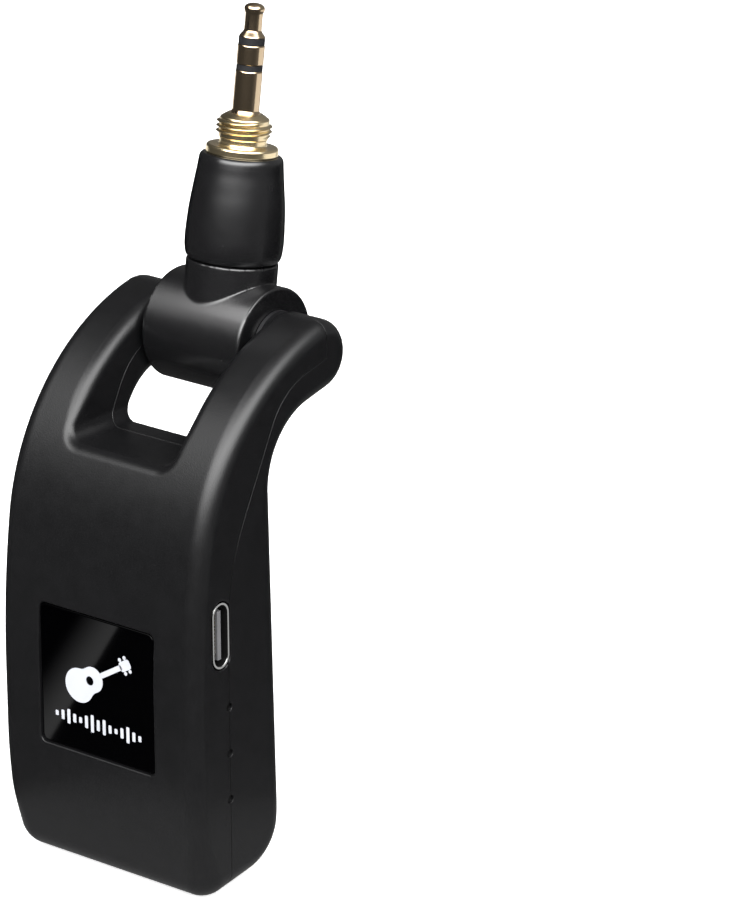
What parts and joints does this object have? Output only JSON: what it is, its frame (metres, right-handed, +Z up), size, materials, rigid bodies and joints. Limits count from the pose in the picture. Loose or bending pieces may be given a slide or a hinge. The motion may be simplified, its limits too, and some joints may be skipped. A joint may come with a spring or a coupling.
{
  "type": "wireless guitar transmitter",
  "caption": "Clip-sized black wireless audio transmitter with a curved two-armed housing, a swivelling gold 3.5 mm plug, square badge, charging port and slide switch.",
  "frame": {"origin": "middle of the bounding box in X and Y, lowest point of the housing in Z", "axes": "+X along the hinge towards the charging port, +Y from the badge to the back, +Z up along the housing"},
  "size_m": [0.0332, 0.0358, 0.1096],
  "materials": {
    "shell_black": "fine matt texture",
    "badge_black": "polished",
    "tape": "adhesive tissue",
    "board_green": "solder mask",
    "chip_black": "moulded",
    "passive_tan": "fired",
    "coil_grey": "ferrite",
    "steel": "plain",
    "ceramic_white": "fired",
    "port_steel": "bright nickel",
    "insulator_black": "moulded",
    "gold": "bright gold plate",
    "led_white": "moulded",
    "guide_clear": "polished",
    "switch_steel": "tinned",
    "knob_black": "matt",
    "cell_silver": "foil pouch",
    "foam": "foam",
    "lead_red": "insulated wire",
    "lead_black": "insulated wire",
    "plug_white": "moulded",
    "lead_grey": "insulated wire",
    "screw_black": "black oxide",
    "bush_white": "acetal",
    "shaft_steel": "ground",
    "spring_steel": "spring temper",
    "clip_black": "black oxide",
    "contact_gold": "gold plate"
  },
  "bodies": {
    "housing": {"front_shell": "shell_black", "rear_cover": "shell_black", "badge_plate": "badge_black", "badge_tape": "tape", "main_board": "board_green", "board_chips": "chip_black", "board_passives": "passive_tan", "board_coils": "coil_grey", "rf_shield": "steel", "antenna": "ceramic_white", "port_shell": "port_steel", "port_tongue": "insulator_black", "port_contacts": "gold", "status_leds": "led_white", "light_guides": "guide_clear", "switch_case": "switch_steel", "battery_cell": "cell_silver", "battery_pad": "foam", "battery_lead_red": "lead_red", "battery_lead_black": "lead_black", "battery_plug": "plug_white", "signal_plug": "plug_white", "signal_cable": "lead_grey", "housing_screws": "screw_black", "hinge_bushes": "bush_white"},
    "plug_arm": {"hinge_shaft": "shaft_steel", "spring_washers": "spring_steel", "shaft_clips": "clip_black", "knuckle": "shell_black", "barrel_sleeve": "shell_black", "plug_holder": "insulator_black", "thread_collar": "gold", "sleeve_contact": "contact_gold", "ring_contact": "contact_gold", "tip_contact": "contact_gold", "lower_insulator": "insulator_black", "upper_insulator": "insulator_black", "plug_leads": "lead_grey"},
    "switch_slider": {"switch_knob": "knob_black"}
  },
  "joints": [
    {"name": "plug_tilt", "type": "hinge", "parent": "housing", "child": "plug_arm", "pos_m": [0, 0.00895, 0.0674], "axis": [1, 0, 0], "range_deg": [-121, 99]},
    {"name": "power_switch", "type": "slide", "parent": "housing", "child": "switch_slider", "axis": [0, 0, 1], "range_m": [-0.0022, 0]}
  ]
}
